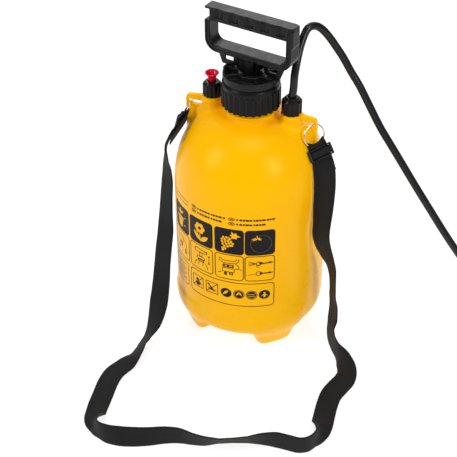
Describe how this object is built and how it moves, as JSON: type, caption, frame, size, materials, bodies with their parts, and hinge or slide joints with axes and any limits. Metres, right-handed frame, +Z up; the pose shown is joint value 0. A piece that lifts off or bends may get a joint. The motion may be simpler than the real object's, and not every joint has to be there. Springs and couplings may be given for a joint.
{
  "type": "hand-pumped shoulder-strap sprayer",
  "caption": "Garden pressure sprayer: yellow blow-moulded tank with a hand pump in the neck, relief valve, shoulder strap, hose, trigger gun and lance.",
  "frame": {"origin": "centre of the circle of the tank's feet, on the ground", "axes": "+Z up along the pump axis, the two strap ears lie along X, -Y is the printed front of the tank"},
  "size_m": [0.5325, 0.5695, 0.4108],
  "materials": {
    "tank": "smooth blow-moulded polyethylene, satin gloss",
    "black_plastic": "injection-moulded, fine texture",
    "nut_plastic": "injection-moulded, satin",
    "handle_plastic": "injection-moulded, satin",
    "slider_plastic": "smooth moulded acetal",
    "grey_plastic": "plain moulded",
    "clear_tube": "milky tube",
    "red_plastic": "glossy moulded",
    "seal_rubber": "soft rubber",
    "steel": "plated",
    "nickel": "nickel plated wire",
    "webbing": "woven polypropylene webbing, fine cross ribs",
    "hose": "glossy PVC",
    "lance_plastic": "smooth glass-filled tube"
  },
  "bodies": {
    "root": {"tank_feet": "tank", "tank_wall": "tank", "tank_dome": "tank", "tank_shoulder": "tank", "tank_neck": "tank", "ear_left": "tank", "ear_right": "tank", "relief_nut": "black_plastic", "relief_seal": "seal_rubber", "relief_body": "black_plastic", "relief_spring": "steel", "outlet_nut": "black_plastic", "outlet_seal": "seal_rubber", "outlet_fitting": "black_plastic", "dip_tube": "clear_tube", "strainer": "grey_plastic", "slider_left": "slider_plastic", "slider_right": "slider_plastic", "strap": "webbing", "hose_tube": "hose", "hose_coil": "hose", "hose_tail": "hose", "gun_shell_lower": "black_plastic", "gun_shell_upper": "black_plastic", "gun_screws": "steel", "lever_pin": "steel", "gun_valve_body": "grey_plastic", "lever_spring": "steel", "stem_seal": "seal_rubber", "gun_hose_nut": "black_plastic", "lance_nut": "black_plastic", "lance_tube": "lance_plastic", "nozzle_body": "black_plastic"},
    "pump_unit": {"pump_head": "black_plastic", "pump_cylinder": "grey_plastic", "neck_seal": "seal_rubber", "check_valve": "seal_rubber"},
    "cap_nut": {"cap_nut": "nut_plastic"},
    "piston": {"piston": "black_plastic", "piston_ring": "seal_rubber"},
    "handle": {"pump_handle": "handle_plastic", "pump_rod": "grey_plastic", "handle_pin": "steel", "rod_clip": "steel"},
    "relief_plunger": {"relief_plunger": "red_plastic", "relief_pad": "seal_rubber"},
    "ring_left": {"ring_left": "nickel"},
    "ring_right": {"ring_right": "nickel"},
    "gun_lever": {"gun_lever": "black_plastic"},
    "gun_valve_stem": {"gun_valve_stem": "steel"},
    "nozzle_cap": {"nozzle_cap": "black_plastic", "nozzle_seal": "seal_rubber"}
  },
  "joints": [
    {"name": "pump_lift", "type": "slide", "parent": "root", "child": "pump_unit", "axis": [0, 0, 1], "range_m": [0, 0.3]},
    {"name": "cap_nut_turn", "type": "hinge", "parent": "pump_unit", "child": "cap_nut", "pos_m": [0, 0, 0.315], "axis": [0, 0, 1], "continuous": true},
    {"name": "pump_stroke", "type": "slide", "parent": "pump_unit", "child": "piston", "axis": [0, 0, 1], "range_m": [0, 0.2]},
    {"name": "handle_turn", "type": "hinge", "parent": "piston", "child": "handle", "pos_m": [0, 0, 0.35], "axis": [0, 0, 1], "range_deg": [-60, 0]},
    {"name": "relief_pull", "type": "slide", "parent": "root", "child": "relief_plunger", "axis": [0, 0, 1], "range_m": [0, 0.005], "stiffness_N_per_m": 300, "deforming": ["relief_spring"]},
    {"name": "ring_left_spin", "type": "hinge", "parent": "root", "child": "ring_left", "pos_m": [-0.0775, 0.001, 0.2748], "axis": [-0.9409, -0.1101, 0.3203], "continuous": true},
    {"name": "ring_right_spin", "type": "hinge", "parent": "root", "child": "ring_right", "pos_m": [0.0767, -0.0015, 0.2746], "axis": [0.7497, -0.5997, 0.2799], "continuous": true},
    {"name": "gun_lever_squeeze", "type": "hinge", "parent": "root", "child": "gun_lever", "pos_m": [0.3935, -0.136, 0.0125], "axis": [0, 0, -1], "range_deg": [0, 6], "stiffness_Nm_per_rad": 0.5},
    {"name": "gun_valve_push", "type": "slide", "parent": "root", "child": "gun_valve_stem", "axis": [1, 0, 0], "range_m": [0, 0.0015]},
    {"name": "nozzle_cap_turn", "type": "hinge", "parent": "root", "child": "nozzle_cap", "pos_m": [0.402, -0.447, 0.0125], "axis": [0, -1, 0], "continuous": true}
  ],
  "couplings": [
    {"joint": "gun_valve_push", "follows": "gun_lever_squeeze", "m_per_rad": 0.014}
  ]
}
